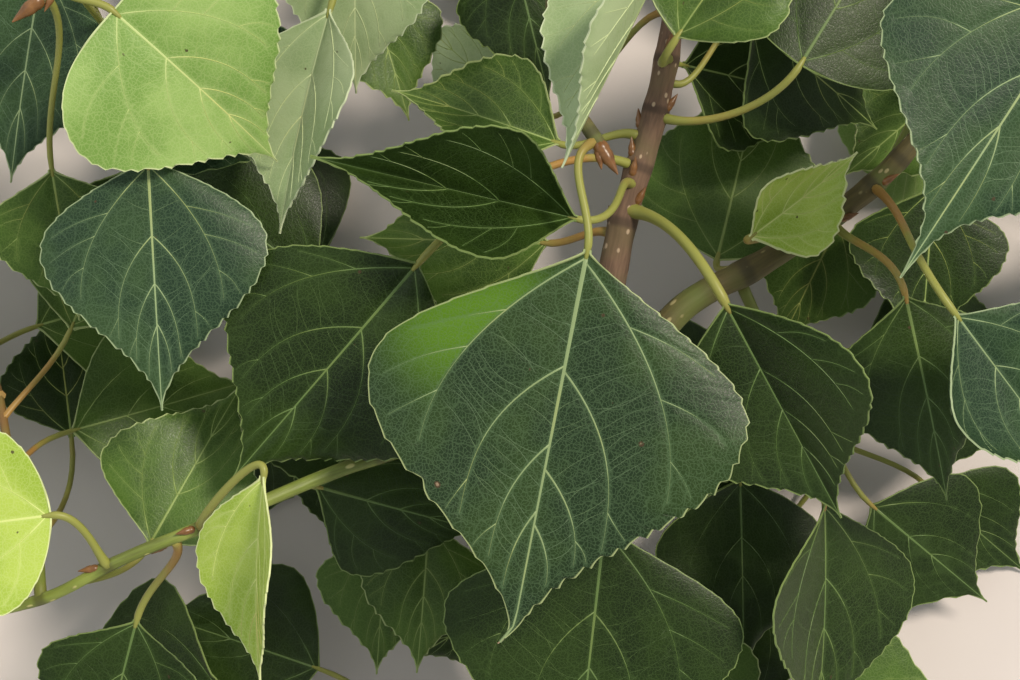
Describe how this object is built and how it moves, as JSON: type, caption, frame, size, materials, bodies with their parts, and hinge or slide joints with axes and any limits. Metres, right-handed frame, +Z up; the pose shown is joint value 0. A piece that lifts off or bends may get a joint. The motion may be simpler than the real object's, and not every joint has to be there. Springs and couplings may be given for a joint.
{
  "type": "leafy poplar branch",
  "caption": "Cut branch of a poplar tree with broad pointed toothed leaves on long stalks, lying on its cut end and its lower leaves.",
  "frame": {"origin": "middle of the branch in plan, at the level of the surface that it lies on", "axes": "+Y from the cut end towards the growing tip, +Z up out of the surface, +X to the right seen from above with the tip away"},
  "size_m": [0.3751, 0.4264, 0.1272],
  "materials": {
    "bark": "brown-grey bark with pale lenticels",
    "green_bark": "smooth green bark of a young shoot",
    "leaf": "waxy deep green leaf with pale veins",
    "young_leaf": "soft yellow-green young leaf"
  },
  "bodies": {
    "root": {"main_stem": "bark", "right_shoot": "bark", "left_shoot": "green_bark", "upper_left_shoot": "bark", "front_twig": "bark", "leaf_centre": "leaf", "leaf_top_left": "leaf", "leaf_left": "leaf", "leaf_left_edge_on": "leaf", "leaf_mid_folded": "leaf", "leaf_left_dark": "leaf", "leaf_top_rolled": "leaf", "leaf_top_right_small": "leaf", "leaf_top_right_dark": "leaf", "leaf_right_large": "leaf", "leaf_right_curled": "leaf", "leaf_right_dark": "leaf", "leaf_right_mid": "leaf", "leaf_bottom_mid": "leaf", "leaf_bottom_right": "leaf", "leaf_low_left_edge_on": "leaf", "leaf_left_young": "young_leaf", "leaf_low_mid_dark": "leaf", "leaf_low_mid_small": "leaf", "leaf_top_mid": "leaf", "leaf_back_upper": "leaf", "leaf_back_lower": "leaf", "leaf_back_right": "leaf", "leaf_back_right_young": "young_leaf", "leaf_top_centre": "leaf", "leaf_far_left": "leaf", "leaf_bottom_left": "leaf", "twig_top": "leaf", "twig_top_left": "leaf", "twig_top_right": "leaf", "twig_top_below": "leaf", "twig_right_tip": "leaf", "twig_right_low": "leaf", "twig_right_below": "leaf", "twig_bottom_right": "leaf", "twig_bottom_left": "leaf", "twig_left_tip": "leaf", "twig_left_below": "leaf", "twig_middle_below": "leaf", "twig_centre_below": "leaf", "twig_upper_left_below": "leaf"}
  },
  "joints": []
}
